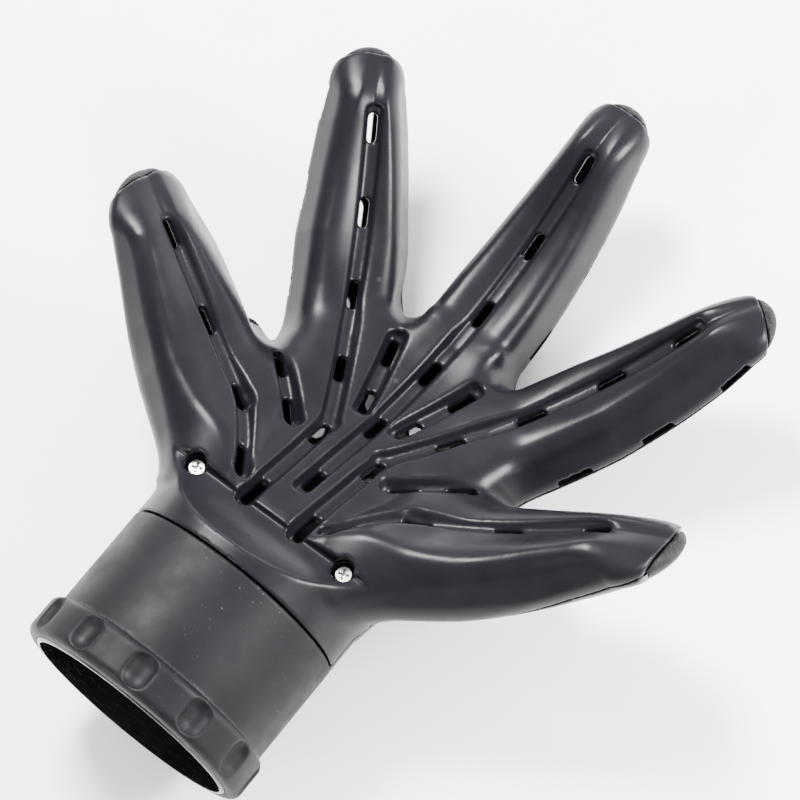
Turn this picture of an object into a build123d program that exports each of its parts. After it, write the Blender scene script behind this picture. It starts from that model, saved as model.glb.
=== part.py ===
from build123d import *
from math import asin, cos, degrees, radians, sin, sqrt
import os

# Hand-shaped hair dryer diffuser, in millimetres.
# +Y runs along the socket axis from the mouth to the fingertips, +Z points out of the palm,
# and the origin is the centre of the socket mouth.  +X is the right-hand side seen from above.
# The palm is dished round an imaginary ball, and the hand is laid out on shells round that ball.

# ---- driving dimensions: hand ----
WALL = 2.2                    # moulded shell thickness
BALL_Y = 157.0                # centre of the ball
BALL_Z = 106.0
GROOVE_R = 120.0              # radius to the floors of the air grooves
PALM_R = 118.0                # radius to the palm surface between the grooves
PARTING_R = 136.0             # radius to the joint between the two shells
FINGER_MID_R = 131.0          # radius to the middle of a finger at its root
FINGER_MID_RISE = 2.0         # how much nearer the ball the middle is at the tip
FINGER_HALF_THICK = 14.6      # half thickness of a finger at its root
FINGER_THIN = 0.70            # share of that thickness left near the tip
TIP_LENGTH = 12.0             # rounded length at the end of each finger
FINGER_TAPER = 1.6            # how late along its length a finger narrows
SHAFT_STATIONS = 5
TIP_ANGLES = (30, 52, 70, 83)  # stations of the rounded end, as angles of a quarter turn

# start x, y; direction in degrees from +Y; length; half width at the root and near the tip
FINGERS = {
    "thumb": (-13.0, 76.0, -55.0, 95.0, 21.5, 11.5),
    "index": (-15.0, 110.7, -30.0, 105.0, 18.0, 11.0),
    "middle": (0.0, 110.0, 0.0, 124.0, 17.5, 11.0),
    "ring": (15.0, 110.7, 30.0, 105.0, 18.0, 11.0),
    "little": (13.0, 76.0, 55.0, 95.0, 21.5, 11.5),
}

# sections of the hollow palm: y, half width, lowest and highest z before the dish is cut
PALM_SECTIONS = (
    (60.0, 34.8, -34.8, 34.8),
    (80.0, 43.0, -36.4, 32.0),
    (100.0, 46.0, -37.6, 22.0),
    (120.0, 44.0, -38.2, 12.0),
    (138.0, 34.0, -38.0, 2.0),
    (152.0, 18.0, -36.8, -6.0),
)

# grooves: start x, y; direction; length; places of the slots along it
GROOVES = {
    "little": (20.5, 84.6, 60.3, 70.5, (14.7, 40.5, 66.2)),
    "little_wrist": (15.0, 74.6, 46.4, 12.0, (5.0,)),
    "ring": (15.0, 110.7, 30.2, 92.5, (12.0, 37.6, 63.2, 87.6)),
    "ring_wrist": (8.9, 69.5, 2.4, 42.0, (5.2, 30.8)),
    "outer_web": (17.5, 95.7, 49.0, 26.0, (5.5, 22.0)),
    "inner_web": (6.5, 112.5, 17.4, 28.0, (5.2, 24.0)),
}
MIDDLE_GROOVE = (0.0, 81.0, 0.0, 138.0, tuple(5.1 + 25.6 * i for i in range(6)))
GROOVE_FLOOR = 3.4
GROOVE_SLOPE = 1.3            # sideways run of a groove wall for each unit of height
GROOVE_HEIGHT = 8.0
SLOT_LENGTH = 9.0
SLOT_WIDTH = 2.8
SLOT_REACH = 40.0             # long enough to pass through both shells

# air notches in the rim of the front shell, beside the slots nearest the fingertip
NOTCHES_EACH_SIDE = 3
NOTCH_LENGTH = 10.0
NOTCH_HEIGHT = 2.4
NOTCH_DEPTH = 12.0
RIM_SIDES = {"thumb": (1,), "index": (-1, 1), "middle": (-1, 1), "ring": (-1, 1), "little": (-1,)}

# fingertip pads
PAD_SETBACK = 3.6             # from the fingertip to the face between shell and pad
PAD_TILT = 24.0               # that face leans, so the palm side of the shell reaches further
PAD_PLUG = 4.0                # depth of the plug inside the shells
PAD_GAP = 0.1

# ---- driving dimensions: wrist, y measured from the socket mouth ----
NECK_R = 36.0
NECK_START = 47.0
NECK_END = 68.0
NECK_PARTING_Z = -3.0
NECK_PARTING_END = 63.0
SCOOP = ((50.5, 36.5), (67.0, 19.0), (79.0, 19.0))
SPIGOT_R = 31.0               # tube of the shells that carries the collar
SPIGOT_START = 38.0
BEAD_R = 32.2                 # bead round the spigot, which keeps the collar on
BEAD_START = 38.6
BEAD_END = 40.6
RUNNING_GAP = 0.35

SCREW_X = 27.1
SCREW_Y = 66.5
SCREW_SEAT_Z = 15.0
SCREW_HEAD_R = 2.9
SCREW_HEAD_HEIGHT = 1.9
SCREW_R = 1.45
SCREW_LENGTH = 16.0
RECESS_R = 3.4
SEAT_THICK = 2.4
BOSS_R = 4.6
BOSS_FOOT_Z = -23.0
CROSS_LENGTH = 3.4
CROSS_WIDTH = 0.8
CROSS_DEPTH = 1.2

# ---- driving dimensions: collar, y measured from the socket mouth ----
COLLAR_END = 46.5
SLEEVE_R = 36.0
SLEEVE_START = 0.5
BAND_R = 38.4
BAND_END = 13.5
BAND_ROUND = 1.8
SCALLOPS = 12
SCALLOP_R = 6.5
SCALLOP_DEPTH = 2.2
SCALLOP_PHASE = 9.0
LINER_R = 34.3
BORE_R = 33.0
BORE_LENGTH = 26.0
SEAT_R = 32.0                 # seat of the grip ring, stepped in from the bore
SHOULDER_START = 34.5
SHOULDER_END = 36.5
SHOULDER_R = 29.5
LIP_CHAMFER = 0.5
GRIP_RING_R = 30.6
GRIP_LIP_R = 22.5
GRIP_LIP_START = 30.0
GRIP_LIP_THICK = 1.8
GRIP_SLITS = 12
GRIP_SLIT_WIDTH = 1.2
GRIP_SLIT_OUT_R = 30.0

BALL = Vector(0, BALL_Y, BALL_Z)
BIG = 300.0


def heading(angle):
    """Horizontal unit vector, turned from +Y towards +X."""
    return Vector(sin(radians(angle)), cos(radians(angle)), 0)


def place(start_x, start_y, angle, distance):
    """Horizontal position a distance along a straight line."""
    step = heading(angle) * distance
    return start_x + step.X, start_y + step.Y


def ball_plane(x, y, angle, radius):
    """Plane square to a line on the ball, x across the line and y towards the ball's centre."""
    drop = sqrt(GROOVE_R ** 2 - x ** 2 - (y - BALL_Y) ** 2)
    inward = (BALL - Vector(x, y, BALL_Z - drop)).normalized()
    sideways = heading(angle).cross(Vector(0, 0, 1))
    along = inward.cross(sideways).normalized()
    if along.dot(heading(angle)) < 0:
        along = along * -1
    across = along.cross(inward).normalized()
    return Plane(origin=BALL - inward * radius, x_dir=across, z_dir=along * -1)


def rounded_wire(plane, half_width, half_height):
    """Oval outline."""
    return (plane * Ellipse(half_width, half_height)).wire()


def finger_width(name, station):
    """Half width of a finger at a distance along its shaft."""
    _, _, _, length, root, tip = FINGERS[name]
    run = min(station / (length - TIP_LENGTH), 1)
    return root + (tip - root) * run ** FINGER_TAPER


def finger_wire(name, station, inset):
    """Outline of a finger at a distance along it, shrunk by inset."""
    x0, y0, angle, length, _, _ = FINGERS[name]
    straight = length - TIP_LENGTH
    x, y = place(x0, y0, angle, station)
    run = min(station / straight, 1)
    close = sqrt(1 - (max(station - straight, 0) / TIP_LENGTH) ** 2)
    half_width = finger_width(name, station) * close - inset
    half_height = FINGER_HALF_THICK * (1 - (1 - FINGER_THIN) * run) * close - inset
    plane = ball_plane(x, y, angle, FINGER_MID_R - FINGER_MID_RISE * run)
    return rounded_wire(plane, half_width, half_height)


def finger_solid(name, inset):
    """Tapered finger with a rounded end, shrunk all round by inset."""
    straight = FINGERS[name][3] - TIP_LENGTH
    step = straight / (SHAFT_STATIONS - 1)
    shaft = [finger_wire(name, step * i, inset) for i in range(SHAFT_STATIONS)]
    angles = [a for a in TIP_ANGLES if FINGERS[name][5] * cos(radians(a)) > inset + 1]
    tip = [shaft[-1]] + [finger_wire(name, straight + TIP_LENGTH * sin(radians(a)), inset) for a in angles]
    return Solid.make_loft(shaft).fuse(Solid.make_loft(tip, ruled=True))


def palm_solid(inset):
    """Hollow of the palm between the wrist and the finger roots, before the dish is cut."""
    wires = []
    for y, half_width, low, high in PALM_SECTIONS:
        plane = Plane(origin=(0, y, (low + high) / 2), x_dir=(1, 0, 0), z_dir=(0, -1, 0))
        wires.append(rounded_wire(plane, half_width - inset, (high - low) / 2 - inset))
    return Solid.make_loft(wires, ruled=True)


def tube_y(radius, start, end):
    """Solid cylinder on the socket axis."""
    return Plane(origin=(0, start, 0), x_dir=(1, 0, 0), z_dir=(0, 1, 0)) * Cylinder(
        radius, end - start, align=(Align.CENTER, Align.CENTER, Align.MIN)
    )


def ball_solid(radius):
    return Pos(0, BALL_Y, BALL_Z) * Sphere(radius)


def scoop_tool(drop):
    """Everything above the sloping face between the neck and the palm."""
    line = [(y, z - drop) for y, z in SCOOP]
    line += [(SCOOP[-1][0], BIG / 3), (SCOOP[0][0], BIG / 3)]
    face = Plane.YZ * make_face(Polyline(*line, close=True))
    return extrude(face, BIG / 2, both=True)


def groove_tool(spec, drop):
    """Trough whose floor follows the ball, deepened and widened by drop."""
    x0, y0, angle, length, _ = spec
    ahead = heading(angle)
    foot_distance = ahead.Y * (BALL_Y - y0) - ahead.X * x0
    foot = Vector(*place(x0, y0, angle, foot_distance), BALL_Z)
    reach = sqrt(GROOVE_R ** 2 - (foot.X ** 2 + (foot.Y - BALL_Y) ** 2))
    turn = degrees(asin(foot_distance / reach) + asin((length - foot_distance) / reach))
    plane = ball_plane(x0, y0, angle, GROOVE_R + drop)
    low = GROOVE_FLOOR / 2 + drop
    top = GROOVE_HEIGHT + drop
    high = low + top * GROOVE_SLOPE
    outline = make_face(Polyline((-low, 0), (low, 0), (high, top), (-high, top), close=True))
    axle = Axis(foot, ahead.cross(Vector(0, 0, 1)))
    return revolve(plane * outline, axis=axle, revolution_arc=turn)


def mirrored(spec):
    x0, y0, angle, length, places = spec
    return -x0, y0, -angle, length, places


def all_grooves():
    specs = [MIDDLE_GROOVE]
    for spec in GROOVES.values():
        specs.append(spec)
        specs.append(mirrored(spec))
    return specs


def slot_tool(x, y, angle):
    """Round-ended slot through both shells, square to the palm."""
    plane = ball_plane(x, y, angle, GROOVE_R)
    outline = Rot(0, 0, 90) * SlotOverall(SLOT_LENGTH, SLOT_WIDTH)
    flat = Plane(origin=plane.origin, x_dir=plane.x_dir, z_dir=plane.y_dir)
    return extrude(flat * outline, SLOT_REACH / 4) + extrude(flat * outline, -SLOT_REACH)


def all_slots():
    tools = []
    for x0, y0, angle, length, places in all_grooves():
        for distance in places:
            x, y = place(x0, y0, angle, distance)
            tools.append(slot_tool(x, y, angle))
    return tools


def notch_tools(name):
    """Boxes that open the rim of the front shell along the sides of a finger."""
    x0, y0, angle, length, _, _ = FINGERS[name]
    tools = []
    for i in range(NOTCHES_EACH_SIDE):
        station = length - 20.0 - 24.0 * i
        x, y = place(x0, y0, angle, station)
        plane = ball_plane(x, y, angle, PARTING_R)
        for side in RIM_SIDES[name]:
            block = Box(NOTCH_DEPTH, 2 * NOTCH_HEIGHT, NOTCH_LENGTH)
            tools.append(plane * Pos(side * finger_width(name, station), 0, 0) * block)
    return tools


def tip_plane(name, back):
    """Leaning face between a fingertip's shells and its pad, set back from the tip."""
    x0, y0, angle, length, _, _ = FINGERS[name]
    x, y = place(x0, y0, angle, length - PAD_SETBACK - back)
    flat = ball_plane(x, y, angle, FINGER_MID_R)
    return flat * Rot(PAD_TILT, 0, 0)


def beyond(plane):
    """Block on the fingertip side of a plane."""
    return plane * Box(60, 60, 40, align=(Align.CENTER, Align.CENTER, Align.MAX))


def fingertip_pad(name):
    """Soft end of a finger with a plug that the shells clamp."""
    cap = finger_solid(name, 0) & beyond(tip_plane(name, -PAD_GAP))
    plug = finger_solid(name, WALL + PAD_GAP) & beyond(tip_plane(name, PAD_PLUG))
    return cap + (plug - beyond(tip_plane(name, -PAD_GAP - 0.5)))


def upper_region():
    """Everything on the palm side of the joint between the two shells."""
    neck = Pos(0, (NECK_PARTING_END + SPIGOT_START - 5) / 2, NECK_PARTING_Z) * Box(
        2 * NECK_R + 4, NECK_PARTING_END - SPIGOT_START + 5, 80,
        align=(Align.CENTER, Align.CENTER, Align.MIN),
    )
    return ball_solid(PARTING_R) + neck


def hollow_hand():
    """Both shells as one hollow body, with the grooves pressed into the palm."""
    outer = palm_solid(0).fuse(tube_y(NECK_R, NECK_START, NECK_END)).cut(ball_solid(PALM_R))
    outer = outer.fuse(*[finger_solid(name, 0) for name in FINGERS])
    outer = outer.cut(scoop_tool(0), *[groove_tool(spec, 0) for spec in all_grooves()])
    inner = palm_solid(WALL).fuse(tube_y(NECK_R - WALL, NECK_START + WALL, NECK_END))
    inner = inner.cut(ball_solid(PALM_R + WALL)).fuse(*[finger_solid(name, WALL) for name in FINGERS])
    inner = inner.cut(scoop_tool(WALL * 1.3), *[groove_tool(spec, WALL) for spec in all_grooves()])
    shell = outer.cut(inner, *[beyond(tip_plane(name, 0)) for name in FINGERS])
    spigot = tube_y(SPIGOT_R, SPIGOT_START, NECK_START + WALL) + tube_y(BEAD_R, BEAD_START, BEAD_END)
    return (shell + spigot).cut(tube_y(SPIGOT_R - WALL, SPIGOT_START - 1, NECK_START + WALL + 1))


def screw_post(x, radius, low, high):
    post = Cylinder(radius, high - low, align=(Align.CENTER, Align.CENTER, Align.MIN))
    return Pos(x, SCREW_Y, low) * post


def hand_shells():
    """Front and back shells with their slots, notches and screw posts."""
    hollow = hollow_hand().cut(*all_slots())
    upper = upper_region()
    notches = [tool for name in FINGERS for tool in notch_tools(name)]
    front = (hollow & upper).cut(*notches)
    back = hollow - upper
    seat_foot = SCREW_SEAT_Z - SEAT_THICK
    for x in (-SCREW_X, SCREW_X):
        front = front + screw_post(x, BOSS_R, seat_foot, SCREW_SEAT_Z + 2)
        front = front - screw_post(x, RECESS_R, SCREW_SEAT_Z, SCREW_SEAT_Z + 20)
        front = front - screw_post(x, SCREW_R + 0.15, seat_foot - 1, SCREW_SEAT_Z + 1)
        back = back + screw_post(x, BOSS_R, BOSS_FOOT_Z, seat_foot)
        back = back - screw_post(x, SCREW_R, SCREW_SEAT_Z - SCREW_LENGTH - 1, SCREW_SEAT_Z)
    return front, back


def wrist_screw(x):
    """Pan-head screw with a cross recess."""
    head = screw_post(x, SCREW_HEAD_R, SCREW_SEAT_Z, SCREW_SEAT_Z + SCREW_HEAD_HEIGHT)
    head = fillet(head.edges().group_by(Axis.Z)[-1], 0.7)
    shank = screw_post(x, SCREW_R, SCREW_SEAT_Z - SCREW_LENGTH, SCREW_SEAT_Z)
    top = Pos(x, SCREW_Y, SCREW_SEAT_Z + SCREW_HEAD_HEIGHT)
    arm = Box(CROSS_LENGTH, CROSS_WIDTH, 2 * CROSS_DEPTH)
    cross = top * Rot(0, 0, 20) * (arm + Rot(0, 0, 90) * arm)
    return head + shank - cross


def turned(*profile):
    """Ring from a closed outline of radius and y pairs, turned about the socket axis."""
    return revolve(make_face(Polyline(*profile, close=True)), axis=Axis.Y)


def collar_liner():
    """Rigid smooth lining of the socket, with the groove that snaps over the spigot bead."""
    seat_r = BEAD_R + RUNNING_GAP
    lip_r = SPIGOT_R + RUNNING_GAP
    lip_start = BEAD_END + RUNNING_GAP
    return turned(
        (BORE_R, 0), (BORE_R, BORE_LENGTH), (SEAT_R, BORE_LENGTH), (SEAT_R, SHOULDER_START),
        (SHOULDER_R, SHOULDER_START), (SHOULDER_R, SHOULDER_END), (seat_r, SHOULDER_END),
        (seat_r, lip_start), (lip_r, lip_start), (lip_r, COLLAR_END), (LINER_R, COLLAR_END),
        (LINER_R, LIP_CHAMFER), (LINER_R - LIP_CHAMFER, 0),
    )


def rubber_sleeve():
    """Soft sleeve over the liner, with the scalloped grip band at the mouth."""
    sleeve = turned(
        (LINER_R, SLEEVE_START), (BAND_R - BAND_ROUND, SLEEVE_START), (BAND_R, SLEEVE_START + BAND_ROUND),
        (BAND_R, BAND_END - BAND_ROUND), (BAND_R - BAND_ROUND, BAND_END), (SLEEVE_R, BAND_END),
        (SLEEVE_R, COLLAR_END), (LINER_R, COLLAR_END),
    )
    distance = BAND_R + SCALLOP_R - SCALLOP_DEPTH
    for i in range(SCALLOPS):
        turn = radians(SCALLOP_PHASE + 360 * i / SCALLOPS)
        tool = tube_y(SCALLOP_R, SLEEVE_START + 1, BAND_END - 1)
        sleeve = sleeve - Pos(distance * sin(turn), 0, distance * cos(turn)) * tool
    return sleeve


def nozzle_grip_ring():
    """Rubber ring whose split lip grips the nozzle of a hair dryer."""
    lip_end = GRIP_LIP_START + GRIP_LIP_THICK
    ring = turned(
        (SEAT_R, BORE_LENGTH), (SEAT_R, SHOULDER_START), (GRIP_RING_R, SHOULDER_START),
        (GRIP_RING_R, lip_end), (GRIP_LIP_R, lip_end), (GRIP_LIP_R, GRIP_LIP_START),
        (GRIP_RING_R, GRIP_LIP_START), (GRIP_RING_R, BORE_LENGTH),
    )
    for i in range(GRIP_SLITS):
        slit = Box(GRIP_SLIT_OUT_R, 12, GRIP_SLIT_WIDTH, align=(Align.MIN, Align.CENTER, Align.CENTER))
        ring = ring - Rot(0, 360 * i / GRIP_SLITS, 0) * Pos(0, GRIP_LIP_START, 0) * slit
    return ring


front_shell, back_shell = hand_shells()
parts = {
    "front_shell": front_shell,
    "back_shell": back_shell,
    "wrist_screw_left": wrist_screw(-SCREW_X),
    "wrist_screw_right": wrist_screw(SCREW_X),
    "collar_liner": collar_liner(),
    "rubber_sleeve": rubber_sleeve(),
    "nozzle_grip_ring": nozzle_grip_ring(),
}
for name in FINGERS:
    parts[f"tip_pad_{name}"] = fingertip_pad(name)

os.makedirs("parts", exist_ok=True)
for name, shape in parts.items():
    export_step(shape, f"parts/{name}.step")
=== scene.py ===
import math

import bpy
import numpy as np
import openvdb
from mathutils import Matrix, Vector


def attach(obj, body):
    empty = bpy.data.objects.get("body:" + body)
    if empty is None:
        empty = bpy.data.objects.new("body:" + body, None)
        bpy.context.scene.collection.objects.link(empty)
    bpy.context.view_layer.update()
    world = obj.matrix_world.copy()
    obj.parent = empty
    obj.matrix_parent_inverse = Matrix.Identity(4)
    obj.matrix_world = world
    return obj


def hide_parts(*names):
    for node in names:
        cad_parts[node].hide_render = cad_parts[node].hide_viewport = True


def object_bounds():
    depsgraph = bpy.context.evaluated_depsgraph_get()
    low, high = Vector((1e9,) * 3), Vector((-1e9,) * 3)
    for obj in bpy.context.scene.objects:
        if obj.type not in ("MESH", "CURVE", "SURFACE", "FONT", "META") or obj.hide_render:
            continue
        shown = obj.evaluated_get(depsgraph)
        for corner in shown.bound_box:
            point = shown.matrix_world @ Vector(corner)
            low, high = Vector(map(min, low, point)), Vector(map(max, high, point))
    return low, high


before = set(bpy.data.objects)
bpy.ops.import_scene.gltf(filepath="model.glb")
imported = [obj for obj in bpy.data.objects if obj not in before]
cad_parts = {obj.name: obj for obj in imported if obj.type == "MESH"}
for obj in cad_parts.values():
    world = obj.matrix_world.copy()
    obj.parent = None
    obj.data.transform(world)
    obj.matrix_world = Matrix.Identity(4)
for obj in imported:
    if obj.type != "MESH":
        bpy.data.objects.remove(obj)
cad_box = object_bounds()
MM = 0.001

# ---------------------------------------------------------------- shells as distance fields, in mm
VOXEL = 0.6
BALL = (0.0, 157.0, 106.0)      # centre of the ball that the palm is dished round
GROOVE_R = 120.0
PALM_R = 118.0
PARTING_R = 136.0
WALL = 2.2
GRID_LOW = (0.0, 36.0, -40.5)
GRID_HIGH = (104.0, 245.0, 40.5)


def smooth_min(a, b, k):
    h = np.maximum(k - np.abs(a - b), 0) / k
    return np.minimum(a, b) - h * h * (k / 4)


def smooth_max(a, b, k):
    return -smooth_min(-a, -b, k)


class Line:
    """Coordinates along a straight plan line drawn on the ball: u across it, a along its arc."""

    def __init__(self, x0, y0, angle):
        self.sin, self.cos = math.sin(math.radians(angle)), math.cos(math.radians(angle))
        self.d0 = x0 * self.cos - (y0 - BALL[1]) * self.sin
        self.e0 = x0 * self.sin + (y0 - BALL[1]) * self.cos
        self.phi0 = math.asin(self.d0 / GROOVE_R)
        self.reach = GROOVE_R * math.cos(self.phi0)

    def arc(self, s):
        """Arc length at a plan distance from the line's start."""
        return self.reach * (math.asin((s + self.e0) / self.reach) - math.asin(self.e0 / self.reach))

    def coords(self, f):
        across = f["x"] * self.cos - f["dy"] * self.sin
        ahead = f["x"] * self.sin + f["dy"] * self.cos
        u = f["rho"] * (np.arcsin(np.clip(across / f["rho"], -1, 1)) - self.phi0)
        a = self.reach * (np.arctan2(ahead, -f["dz"]) - math.asin(self.e0 / self.reach))
        return u, a


# line start and direction; then, down the finger: plan distance, reach from the groove line to
# the inner side, reach to the outer side, and how far the joint of the shells rises on that side
FINGERS = {
    "middle": ((0.0, 110.0, 0.0), ((0, 17.5, 17.5, 0), (60, 17.0, 17.0, 0), (83, 15.5, 15.5, 0),
                                   (100, 13.6, 13.6, 0), (113, 11.8, 11.8, 0))),
    "ring": ((15.0, 110.7, 30.2), ((0, 13.4, 20.8, 1), (38, 13.6, 21.0, 2), (56, 12.8, 21.2, 3),
                                   (75, 10.8, 19.6, 3.2), (88, 9.2, 18.0, 3.2), (97, 7.6, 16.0, 3.2))),
    "little": ((20.5, 84.6, 60.3), ((0, 18.5, 31.0, -9), (30, 16.2, 28.8, -7), (45, 14.8, 24.4, -2),
                                    (60, 12.9, 19.8, 2), (71.0, 10.6, 16.8, 4))),
}
TIP_LEAN = {"middle": 0.35, "ring": 0.35, "little": 0.35}   # how far the palm side of a tip is set back
# how a finger's sides lean: inner side, outer side above and below its widest level
LEANS = {"middle": (0.26, 0.26, 0.05), "ring": (0.09, 0.66, 0.50), "little": (0.24, 0.62, 0.40)}
# grooves: start and direction; plan distances of both ends; centres of the slots
GROOVES = (
    ((0.0, 81.0, 0.0), 0.0, 137.0, tuple(5.1 + 25.6 * i for i in range(6))),
    ((15.0, 110.7, 30.2), -9.4, 91.5, (12.0, 37.6, 63.2, 87.0)),
    ((8.9, 69.5, 2.4), 2.2, 33.1, (6.0, 29.6)),
    ((20.5, 84.6, 60.3), 13.0, 70.5, (14.7, 40.5, 66.0)),
    ((15.0, 74.6, 46.4), 1.0, 24.8, (5.0,)),
    ((17.5, 95.7, 49.0), 0.8, 26.5, (5.5, 22.0)),
    ((6.5, 112.5, 17.4), 0.8, 28.5, (5.2, 24.0)),
)
# webs: line, rim at the palm surface, how fast the pit slopes away from the rim
WEBS = (((6.5, 112.5, 17.4), 36.0, 0.60), ((17.5, 95.7, 49.0), 28.5, 0.8))
WEB_R = 4.0
PALM_CENTRE_Y = 92.0
PALM_DISC_R = 23.0
# rounded back of the palm: y, half width, lowest and highest z of each section
PALM_BACK = ((60.0, 35.6, -35.6, 34.0), (80.0, 41.0, -36.4, 30.0), (100.0, 43.0, -37.4, 22.0),
             (120.0, 40.0, -37.9, 10.0), (138.0, 30.0, -37.9, 0.0), (152.0, 18.0, -36.8, -8.0))
SLOT_HALF = 4.6
SLOT_R = 1.45
BACK_SLOT_HALF = 6.5            # the back shell's slots are larger
BACK_SLOT_R = 2.8
CHANNEL_HALF = 1.75
CREST_HEIGHT = 18.0             # from the joint of the shells up to a finger's crests
CREST_BACK = 3.0                # from the side of a finger in to its crest, at that height
BACK_SLOT_MIN_Y = 88.0          # no back slots nearer the wrist than this
BACK_R = 146.0                  # back of a finger at its root, and how far that falls to its tip
BACK_FALL = 6.8
NECK_R = 36.0
NECK_START_Y = 47.0
NECK_END_Y = 66.0
SCREW = (27.1, 66.5)
SEAT_Z = 15.0


def field_grid():
    axes = [np.arange(lo, hi, VOXEL, dtype=np.float32) for lo, hi in zip(GRID_LOW, GRID_HIGH)]
    x, y, z = np.meshgrid(*axes, indexing="ij", sparse=True)
    f = {"x": x, "y": y, "z": z, "dy": y - BALL[1], "dz": z - BALL[2]}
    f["rho"] = np.sqrt(x * x + f["dy"] ** 2 + f["dz"] ** 2)
    return f


def finger_fields(f):
    """Side distance, height of the palm face, joint, back radius and tip coordinate of each finger."""
    out = {}
    height = PARTING_R - f["rho"]
    for name, (line, knots) in FINGERS.items():
        ln = Line(*line)
        u, a = ln.coords(f)
        across = f["x"] * ln.cos - f["dy"] * ln.sin - ln.d0
        arcs = [ln.arc(knot[0]) for knot in knots]
        inner, outer, rise = (np.interp(a, arcs, [k[i] for k in knots]).astype(np.float32) for i in (1, 2, 3))
        lean_in, lean_top, lean_low = LEANS[name]
        wide_out = outer + 1.0 - smooth_max(lean_top * (height - rise), lean_low * (rise - height), 4.0)
        wide_in = inner - lean_in * np.maximum(height, 0)
        if name == "middle":
            wide_in = wide_out
        half = np.maximum((wide_out + wide_in) / 2, 3.0)
        side = across - (wide_out - wide_in) / 2
        lean = TIP_LEAN[name] * np.maximum(height - 8, 0) + 0.5 * np.maximum(-height + rise * 0.5, 0)
        over = np.maximum(a - arcs[-1] + lean, 0) + np.minimum(a - arcs[0], 0)
        edge = np.sqrt(side * side + over * over) - half
        edge = edge * np.where(edge > -8, 0.9, 1.0)
        run = np.clip((a - ln.arc(25)) / (ln.arc(58) - ln.arc(25)), 0, 1)
        run = run * run * (3 - 2 * run)
        crest_out = outer - lean_top * (CREST_HEIGHT - rise) - CREST_BACK
        crest_in = inner - lean_in * CREST_HEIGHT - CREST_BACK
        place = np.where(across > 0, across / np.maximum(crest_out, 3), -across / np.maximum(crest_in, 3))
        near_tip = np.clip((a - arcs[-1] + 9.0) / 18.0, 0, None)
        face = PALM_R + run * (0.7 - 2.3 * np.minimum(place, 1.15)) + 7.0 * near_tip ** 2
        back = BACK_R - BACK_FALL * np.clip((a - arcs[0]) / (arcs[-1] - arcs[0]), 0, 1)
        turn = np.clip((across + 8) / 16, 0, 1)
        joint = PARTING_R - rise * turn * turn * (3 - 2 * turn)
        out[name] = {"edge": edge, "face": face, "back": back, "joint": joint, "a": a, "u": side,
                     "tip": arcs[-1] + (knots[-1][1] + knots[-1][2]) / 2}
    return out


def palm_back(x, y, z):
    """Rounded back of the palm, between the wrist and the finger roots."""
    ys = [row[0] for row in PALM_BACK]
    columns = [[row[i] for row in PALM_BACK] for i in (1, 2, 3)]
    wide, lowest, highest = (np.interp(y, ys, column).astype(np.float32) for column in columns)
    tall = (highest - lowest) / 2
    oval = np.sqrt((x / wide) ** 2 + ((z - (highest + lowest) / 2) / tall) ** 2) - 1
    oval = oval * np.minimum(wide, tall)
    return smooth_max(smooth_max(oval, ys[0] - y, 1.0), y - ys[-1], 4.0)


def web_pit(f, line, rim, slope):
    """Rounded pit that opens the gap between two fingers."""
    ln = Line(*line)
    u, a = ln.coords(f)
    centre = ln.arc(rim) + WEB_R + slope * np.maximum(f["rho"] - PALM_R, -3)
    beyond = np.maximum(a - centre, 0)
    tilt = 1 / math.sqrt(1 + slope * slope)
    near = np.sqrt(u * u + (a - centre - beyond) ** 2) - WEB_R
    return near * tilt


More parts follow.
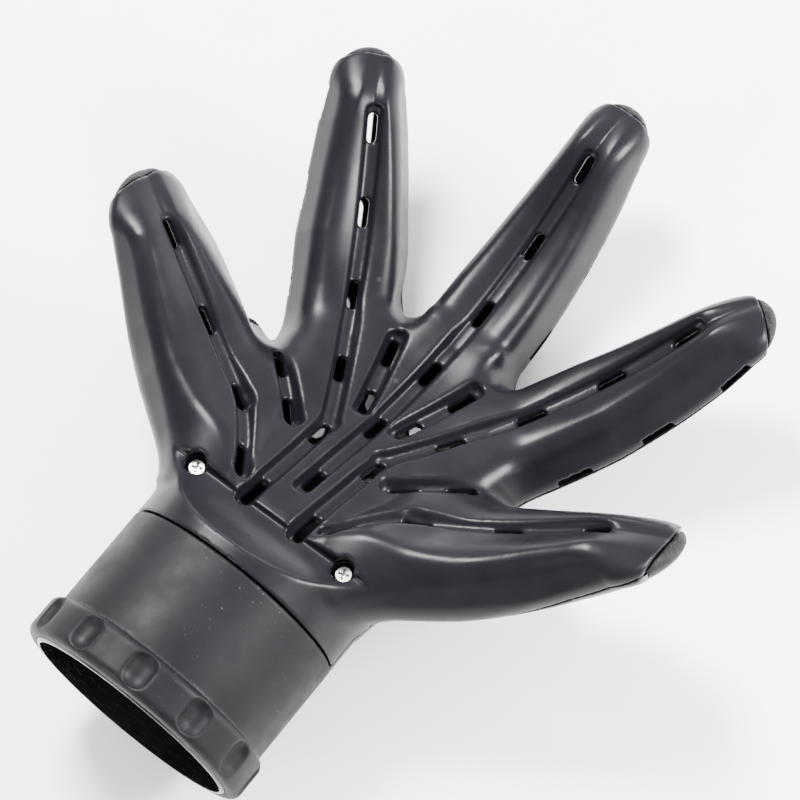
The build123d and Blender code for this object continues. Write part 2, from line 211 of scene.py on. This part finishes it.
def hand_body(f, fingers):
    """Outside of the hand with its channels pressed in, the slots of both shells and the joint's radius."""
    x, y, z, rho = f["x"], f["y"], f["z"], f["rho"]
    names = list(fingers)
    edge = fingers["middle"]["edge"]
    for name in names[1:]:
        edge = smooth_min(edge, fingers[name]["edge"], 2.5)
    plan = GROOVE_R / rho
    palm = np.sqrt((x * plan) ** 2 + (BALL[1] + f["dy"] * plan - PALM_CENTRE_Y) ** 2) - PALM_DISC_R
    edge = smooth_min(edge, palm, 2.0)
    weights = [np.exp(-np.clip(fingers[n]["edge"], -30, 30) / 2.0) for n in names]
    total = sum(weights)
    face = sum(w * fingers[n]["face"] for w, n in zip(weights, names)) / total
    back = sum(w * fingers[n]["back"] for w, n in zip(weights, names)) / total
    joint = sum(w * fingers[n]["joint"] for w, n in zip(weights, names)) / total
    top = face - rho
    out_from_wrist = np.sqrt(x * x + (y - 67) ** 2)
    cap_z = 19.4 + 0.2 * np.maximum(out_from_wrist - 18, 0) + 0.012 * np.maximum(out_from_wrist - 70, 0) ** 2
    cap = (z - cap_z) * 0.98
    valley_z = 19.0 - 0.5 * (y - 67) + 0.02 * np.maximum(y - 88, 0) ** 2
    valley_side = np.maximum(x - (12 + 0.35 * (y - 67)), 0)
    valley = (z - valley_z - 0.8 * valley_side) * 0.8
    wrist_top = smooth_max(cap, valley, 2.0)
    top = smooth_max(top, wrist_top, 2.0)
    low = smooth_max(rho - back, -z - 38.0, 6.0)
    body = smooth_max(edge, top, 7.0)
    body = smooth_max(body, low, 10.0)
    body = smooth_min(body, smooth_max(palm_back(x, y, z), top, 7.0), 8.0)
    for line, rim, slope in WEBS:
        body = smooth_max(body, -web_pit(f, line, rim, slope), 3.0)
    round_neck = np.sqrt(x * x + z * z) - NECK_R
    run = np.clip((67.5 - y) / 16.5, 0, 1)
    scoop_z = 19.3 + 17.0 * run ** 1.7 + 2.0 * np.maximum(y - 67, 0)
    scoop = (z - scoop_z) / np.sqrt(1 + (1.75 * run ** 0.7) ** 2)
    wrist = np.maximum(round_neck, y - NECK_END_Y)
    joined = smooth_min(body, wrist, 3.0)
    joined = smooth_max(joined, scoop, 0.8)
    joined = np.maximum(joined, NECK_START_Y - y)
    channel = None
    slots = None
    back_slots = None
    for line, start, end, places in GROOVES:
        ln = Line(*line)
        u, a = ln.coords(f)
        a0, a1 = ln.arc(start), ln.arc(end)
        past = np.maximum(np.maximum(a0 - a, a - a1), 0)
        across = np.sqrt(u * u + past * past) - CHANNEL_HALF
        channel = across if channel is None else smooth_min(channel, across, 1.5)
        for place in places:
            slot = np.maximum(np.abs(a - ln.arc(place)) - (SLOT_HALF - SLOT_R), 0)
            slot = np.sqrt(u * u + slot ** 2) - SLOT_R
            slots = slot if slots is None else np.minimum(slots, slot)
            wide = np.maximum(np.abs(a - ln.arc(place)) - (BACK_SLOT_HALF - BACK_SLOT_R), 0)
            wide = np.sqrt(u * u + wide ** 2) - BACK_SLOT_R
            back_slots = wide if back_slots is None else np.minimum(back_slots, wide)
    back_slots = np.maximum(back_slots, BACK_SLOT_MIN_Y - y)
    floor = np.minimum(rho - GROOVE_R, -(wrist_top + 2.6))
    floor = np.maximum(floor, -(joined + 3.2))
    cut = smooth_max((channel + 0.45 * floor) * 0.91, floor, 0.8)
    body = smooth_max(joined, -cut, 0.8)
    return body, slots, back_slots, joint


SLEEVE_VOXEL = 0.5
SCOOPS = 12
SCOOP_R = 5.0
SCOOP_DEPTH = 2.3
THROAT_R = 28.8                 # way from the socket into the hollow hand
THROAT_END_Y = 50.0
HOLLOW_START_Y = 44.0
PAD_INSET = 0.55                # pad surface below the shell's
PAD_GAP = 0.35
POST_R = 4.6
SCREW_HEAD_R = 3.4
SCREW_SHANK_R = 1.55
SEAM_HALF = 0.16
NOTCH_HALF = 5.0
NOTCH_DEEP = 2.5
NOTCH_FIRST = 17.5              # from the fingertip back to the first notch, then from notch to notch
NOTCH_STEP = 26.5
NOTCHES = {"middle": 3, "ring": 3, "little": 2}


def mirror_field(field):
    """The whole hand from its +X half."""
    return np.concatenate([field[:0:-1], field], axis=0)


def surface(field, name, low, voxel):
    """Mesh of a field's zero surface, in metres, from a grid whose first corner is low."""
    field = np.pad(field, 1, constant_values=voxel * 3)
    grid = openvdb.FloatGrid(voxel * 3)
    grid.copyFromArray(np.ascontiguousarray(field, dtype=np.float32))
    points, quads = grid.convertToQuads(0.0)
    points = (points - 1) * voxel + np.array(low)
    mesh = bpy.data.meshes.new(name)
    mesh.vertices.add(len(points))
    mesh.vertices.foreach_set("co", (points * MM).astype(np.float32).ravel())
    quads = quads[:, ::-1]
    mesh.loops.add(quads.size)
    mesh.loops.foreach_set("vertex_index", quads.astype(np.int32).ravel())
    mesh.polygons.add(len(quads))
    mesh.polygons.foreach_set("loop_start", np.arange(0, quads.size, 4, dtype=np.int32))
    mesh.polygons.foreach_set("use_smooth", np.ones(len(quads), dtype=bool))
    mesh.update(calc_edges=True)
    mesh.validate()
    obj = bpy.data.objects.new(name, mesh)
    bpy.context.collection.objects.link(obj)
    return obj


def cylinder_z(f, radius, low, high):
    """Upright cylinder at the wrist screw."""
    flat = np.sqrt((f["x"] - SCREW[0]) ** 2 + (f["y"] - SCREW[1]) ** 2) - radius
    return np.maximum(flat, np.maximum(low - f["z"], f["z"] - high))


def build_hand():
    """Fields of the front shell, the back shell and each fingertip pad, on the +X half."""
    f = field_grid()
    fingers = finger_fields(f)
    body, slots, back_slots, joint = hand_body(f, fingers)
    hollow = body + WALL
    hollow = np.maximum(hollow, HOLLOW_START_Y - f["y"])
    throat = np.sqrt(f["x"] ** 2 + f["z"] ** 2) - THROAT_R
    hollow = np.minimum(hollow, np.maximum(throat, f["y"] - THROAT_END_Y))
    shell = np.maximum(body, -hollow)
    for fg in fingers.values():
        lean = (fg["a"] - (fg["tip"] - 2.0) + (f["rho"] - 128.0) * 0.9) * 0.74
        lean = np.maximum(lean, fg["edge"] - 4.0)
        fg["lean"] = lean
    tips = {}
    for name, fg in fingers.items():
        if name == "middle":
            own = np.abs(f["x"]) < 16
        else:
            own = fg["edge"] < 1.5
        pad = np.maximum(body + PAD_INSET, -(fg["lean"] - PAD_GAP))
        plug = np.maximum(body + WALL + 0.15, -(fg["lean"] + 4.0))
        pad = np.minimum(pad, np.maximum(plug, -(fg["lean"] + 3.9)))
        far = fg["a"] < fg["tip"] - 24
        tips[name] = np.where(own & ~far, pad, 3.0)
    for fg in fingers.values():
        beyond = np.where((fg["edge"] < 4.0) & (fg["a"] > fg["tip"] - 26), fg["lean"], -3.0)
        shell = np.maximum(shell, beyond)
    upper = np.minimum(f["rho"] - joint, np.maximum(f["y"] - 63.0, -3.0 - f["z"]))
    post = cylinder_z(f, POST_R, -23.0, SEAT_Z + 1.5)
    shell = np.minimum(shell, np.maximum(post, body))
    shell = np.maximum(shell, -cylinder_z(f, SCREW_HEAD_R, SEAT_Z, 40.0))
    shell = np.maximum(shell, -cylinder_z(f, SCREW_SHANK_R, -24.0, 40.0))
    front = smooth_max(np.maximum(shell, upper + SEAM_HALF), -slots, 0.4)
    back = smooth_max(np.maximum(shell, -(upper - SEAM_HALF)), -back_slots, 0.4)
    for name, fg in fingers.items():
        for i in range(NOTCHES[name]):
            along = np.abs(fg["a"] - (fg["tip"] - NOTCH_FIRST - NOTCH_STEP * i)) - NOTCH_HALF
            notch = np.maximum(along, (joint - NOTCH_DEEP) - f["rho"])
            notch = np.maximum(notch, np.abs(fg["edge"]) - 5.0)
            if name == "little":
                notch = np.maximum(notch, fg["u"] + 2.0)
            front = np.maximum(front, -notch)
    return front, back, tips


def build_sleeve():
    """Soft sleeve with thumb-shaped scoops round the band at its mouth."""
    low = (-41.0, -1.0, -41.0)
    axes = [np.arange(lo, hi, SLEEVE_VOXEL, dtype=np.float32) for lo, hi in zip(low, (41.0, 48.5, 41.0))]
    x, y, z = np.meshgrid(*axes, indexing="ij", sparse=True)
    r = np.sqrt(x * x + z * z)
    tube = rounded(r - 18.0, 18.0, y - 23.5, 23.0, 0.35)
    band = rounded(r - 30.0, 8.4, y - 7.0, 6.5, 2.6)
    sector = math.pi * 2 / SCOOPS
    turn = np.arctan2(x, z) - math.radians(9)
    turn = turn - np.round(turn / sector) * sector
    aside = r * np.sin(turn)
    ahead = r * np.cos(turn) - (38.4 + SCOOP_R - SCOOP_DEPTH)
    along = np.maximum(np.abs(y - 7.2) - (6.6 - SCOOP_R), 0)
    scoop = np.sqrt(aside * aside + ahead * ahead + along * along) - SCOOP_R
    band = smooth_max(band, -scoop, 0.5)
    body = np.minimum(tube, band)
    body = np.maximum(body, 34.3 - r)
    return surface(body, "sleeve", low, SLEEVE_VOXEL)


def rounded(across, half_across, along, half_along, radius):
    """Distance to a rounded rectangle."""
    qa = np.abs(across) - half_across + radius
    qb = np.abs(along) - half_along + radius
    outside = np.sqrt(np.maximum(qa, 0) ** 2 + np.maximum(qb, 0) ** 2)
    return outside + np.minimum(np.maximum(qa, qb), 0) - radius


front, back, tips = build_hand()
left = (-(front.shape[0] - 1) * VOXEL, GRID_LOW[1], GRID_LOW[2])
made = {}


def take(obj, body, node, material):
    """A finished piece takes the place of a CAD node."""
    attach(obj, body)
    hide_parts(node)
    made[obj.name] = (obj, material)


take(surface(mirror_field(front), "shell_front", left, VOXEL), "hand", "front_shell", "shell_plastic")
take(surface(mirror_field(back), "shell_back", left, VOXEL), "hand", "back_shell", "shell_plastic")
take(surface(mirror_field(tips["middle"]), "pad_middle", left, VOXEL), "hand", "tip_pad_middle", "pad_rubber")
for right_name, left_name in (("ring", "index"), ("little", "thumb")):
    pad = surface(tips[right_name], "pad_" + right_name, GRID_LOW, VOXEL)
    take(pad, "hand", "tip_pad_" + right_name, "pad_rubber")
    pad = surface(np.ascontiguousarray(tips[right_name][::-1]), "pad_" + left_name, left, VOXEL)
    take(pad, "hand", "tip_pad_" + left_name, "pad_rubber")
take(build_sleeve(), "collar", "rubber_sleeve", "sleeve_rubber")


# ---------------------------------------------------------------- materials
class Look:
    """A procedural material built up from noise, specks and bumps."""

    def __init__(self, name, **sockets):
        self.material = bpy.data.materials.new(name)
        self.material.use_nodes = True
        self.tree = self.material.node_tree
        self.shader = self.tree.nodes["Principled BSDF"]
        for socket, value in sockets.items():
            self.shader.inputs[socket.replace("_", " ")].default_value = value
        self.place = self.tree.nodes.new("ShaderNodeTexCoord").outputs["Object"]

    def node(self, kind, *sources, **props):
        made_node = self.tree.nodes.new("ShaderNode" + kind)
        for key, value in props.items():
            setattr(made_node, key, value)
        for i, source in sources:
            if isinstance(source, bpy.types.NodeSocket):
                self.tree.links.new(source, made_node.inputs[i])
            else:
                made_node.inputs[i].default_value = source
        return made_node

    def noise(self, scale, detail=3.0, stretch=(1, 1, 1)):
        spread = self.node("Mapping", ("Vector", self.place), ("Scale", stretch))
        texture = self.node("TexNoise", ("Vector", spread.outputs[0]), ("Scale", scale), ("Detail", detail))
        return texture.outputs[0]

    def cells(self, scale):
        return self.node("TexVoronoi", ("Vector", self.place), ("Scale", scale)).outputs["Distance"]

    def ramp(self, source, start, end, low, high):
        """Grey or colour that runs from low to high while the source runs from start to end."""
        ramp = self.node("ValToRGB", (0, source))
        for stop, at, value in zip(ramp.color_ramp.elements, (start, end), (low, high)):
            stop.position = at
            stop.color = (*value, 1) if isinstance(value, tuple) else (value, value, value, 1)
        return ramp.outputs[0]

    def over(self, factor, below, above):
        """The second colour laid over the first by a factor."""
        above = (*above, 1) if isinstance(above, tuple) else above
        return self.node("MixRGB", (0, factor), (1, below), (2, above)).outputs[0]

    def colour(self, socket):
        self.tree.links.new(socket, self.shader.inputs["Base Color"])

    def roughness(self, socket):
        self.tree.links.new(socket, self.shader.inputs["Roughness"])

    def bump(self, height, strength, distance):
        made_node = self.node("Bump", ("Strength", strength), ("Distance", distance), ("Height", height))
        self.tree.links.new(made_node.outputs[0], self.shader.inputs["Normal"])

    def edges(self, start, end):
        """Raised edges, where handling wears the surface."""
        pointiness = self.tree.nodes.new("ShaderNodeNewGeometry").outputs["Pointiness"]
        return self.ramp(pointiness, start, end, 0.0, 1.0)


def moulded(name, dark, pale, worn, dust, rough_low, rough_high, dust_amount, **sockets):
    """Moulded plastic or rubber: mottled colour, worn edges, dust and a fine grained surface."""
    look = Look(name, **sockets)
    colour = look.ramp(look.noise(42.0, 4.0), 0.35, 0.68, dark, pale)
    colour = look.over(look.edges(0.505, 0.56), colour, worn)
    specks = look.ramp(look.noise(1350.0, 1.5), 0.80 - dust_amount, 0.86 - dust_amount, 0.0, 1.0)
    patches = look.ramp(look.noise(28.0, 2.0), 0.45, 0.62, 0.0, 1.0)
    colour = look.over(look.over(patches, (0, 0, 0, 1), specks), colour, dust)
    look.colour(colour)
    look.roughness(look.ramp(look.noise(130.0, 5.0), 0.3, 0.7, rough_low, rough_high))
    look.bump(look.noise(1900.0, 3.0), 0.12, 0.00012)
    return look.material


def build_materials():
    looks = {
        "shell_plastic": moulded("shell_plastic", (0.0034, 0.0030, 0.0044), (0.0056, 0.0050, 0.0070),
                                 (0.012, 0.011, 0.014), (0.05, 0.048, 0.055), 0.27, 0.37, 0.02,
                                 Specular_IOR_Level=0.11),
        "sleeve_rubber": moulded("sleeve_rubber", (0.0030, 0.0027, 0.0038), (0.0048, 0.0043, 0.0058),
                                 (0.012, 0.011, 0.014), (0.07, 0.068, 0.074), 0.44, 0.60, 0.075,
                                 Specular_IOR_Level=0.11),
    }
    liner = Look("liner_plastic", Specular_IOR_Level=0.35)
    liner.colour(liner.ramp(liner.noise(60.0), 0.3, 0.7, (0.002, 0.0018, 0.0023), (0.005, 0.0046, 0.0056)))
    liner.roughness(liner.ramp(liner.noise(240.0, 5.0, (1, 8, 1)), 0.3, 0.7, 0.14, 0.30))
    liner.bump(liner.noise(420.0, 2.0, (6, 1, 6)), 0.10, 0.0001)
    looks["liner_plastic"] = liner.material
    lip = Look("lip_rubber")
    lip.colour(lip.ramp(lip.noise(80.0), 0.3, 0.7, (0.008, 0.0078, 0.0085), (0.018, 0.0175, 0.019)))
    lip.roughness(lip.ramp(lip.noise(300.0), 0.3, 0.7, 0.55, 0.75))
    lip.bump(lip.noise(1500.0), 0.25, 0.0002)
    looks["lip_rubber"] = lip.material
    pad = Look("pad_rubber", Specular_IOR_Level=0.15)
    pad.colour(pad.ramp(pad.cells(1500.0), 0.15, 0.7, (0.007, 0.0066, 0.0078), (0.0015, 0.0014, 0.0017)))
    pad.roughness(pad.ramp(pad.noise(400.0), 0.3, 0.7, 0.45, 0.65))
    pad.bump(pad.cells(1500.0), 0.5, 0.0003)
    looks["pad_rubber"] = pad.material
    steel = Look("screw_steel", Metallic=1.0)
    steel.colour(steel.ramp(steel.noise(500.0, 4.0), 0.3, 0.7, (0.26, 0.25, 0.235), (0.46, 0.45, 0.43)))
    steel.roughness(steel.ramp(steel.noise(900.0, 3.0, (1, 6, 1)), 0.3, 0.7, 0.16, 0.34))
    steel.bump(steel.noise(2400.0, 2.0, (1, 7, 1)), 0.08, 0.0001)
    looks["screw_steel"] = steel.material
    return looks


NODE_MATERIALS = {"wrist_screw_left": "screw_steel", "wrist_screw_right": "screw_steel",
                  "collar_liner": "liner_plastic", "nozzle_grip_ring": "lip_rubber"}
materials = build_materials()
for node, material_name in NODE_MATERIALS.items():
    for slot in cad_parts[node].material_slots:
        slot.material = materials[material_name]
for obj, material_name in made.values():
    obj.data.materials.append(materials[material_name])


# ---------------------------------------------------------------- camera, floor and light
def add(name, data):
    obj = bpy.data.objects.new(name, data)
    bpy.context.collection.objects.link(obj)
    return obj


def build_camera():
    data = bpy.data.cameras.new("cam")
    data.lens = 135
    data.sensor_width = 36
    camera = add("cam", data)
    camera.matrix_world = Matrix(((0.782, -0.5492, 0.2947, 0.2614), (0.6182, 0.7438, -0.2543, -0.1019),
                                  (-0.0795, 0.381, 0.9211, 0.8121), (0, 0, 0, 1)))
    bpy.context.scene.camera = camera


def build_floor(height):
    mesh = bpy.data.meshes.new("floor")
    mesh.from_pydata([(-3, -3, height), (3, -3, height), (3, 3, height), (-3, 3, height)], [], [(0, 1, 2, 3)])
    floor = add("floor", mesh)
    look = Look("floor_paper", Roughness=0.8)
    look.colour(look.ramp(look.noise(30.0), 0.3, 0.7, (0.93, 0.93, 0.93), (0.95, 0.95, 0.95)))
    mesh.materials.append(look.material)


def build_world():
    """White studio all round, brighter overhead and behind the fingertips than by the camera."""
    world = bpy.data.worlds.new("studio")
    bpy.context.scene.world = world
    world.use_nodes = True
    nodes, links = world.node_tree.nodes, world.node_tree.links
    place = nodes.new("ShaderNodeTexCoord")
    lean = nodes.new("ShaderNodeMapping")
    lean.inputs["Location"].default_value = (0.5, 0, 0)
    lean.inputs["Rotation"].default_value = WORLD_TURN
    lean.inputs["Scale"].default_value = (0.5, 0.5, 0.5)
    gradient = nodes.new("ShaderNodeTexGradient")
    ramp = nodes.new("ShaderNodeValToRGB")
    ramp.color_ramp.elements[0].position = 0.25
    ramp.color_ramp.elements[0].color = (WORLD_DARK, WORLD_DARK, WORLD_DARK, 1)
    ramp.color_ramp.elements[1].position = 0.85
    links.new(place.outputs["Generated"], lean.inputs["Vector"])
    links.new(lean.outputs[0], gradient.inputs[0])
    links.new(gradient.outputs[0], ramp.inputs[0])
    links.new(ramp.outputs[0], nodes["Background"].inputs[0])
    nodes["Background"].inputs[1].default_value = WORLD_STRENGTH


def area_light(name, location, target, size, energy):
    data = bpy.data.lights.new(name, "AREA")
    data.size = size
    data.energy = energy
    light = add(name, data)
    light.location = location
    light.rotation_euler = (Vector(target) - light.location).to_track_quat("-Z", "Y").to_euler()


WORLD_TURN = (0, math.radians(35), math.radians(-60))
WORLD_DARK = 0.42
WORLD_STRENGTH = 2.5
# name, place, what it points at, size in metres, watts
LIGHTS = (("key", (-0.55, 0.45, 0.95), (0, 0.12, 0), 0.35, 62),
          ("side", (0.75, 0.55, 0.45), (0.03, 0.15, 0), 0.30, 40),
          ("mouth", (-0.25, -0.75, 0.35), (0, 0.02, 0), 0.30, 9))
build_camera()
build_floor(cad_box[0][2])
build_world()
for light_row in LIGHTS:
    area_light(*light_row)
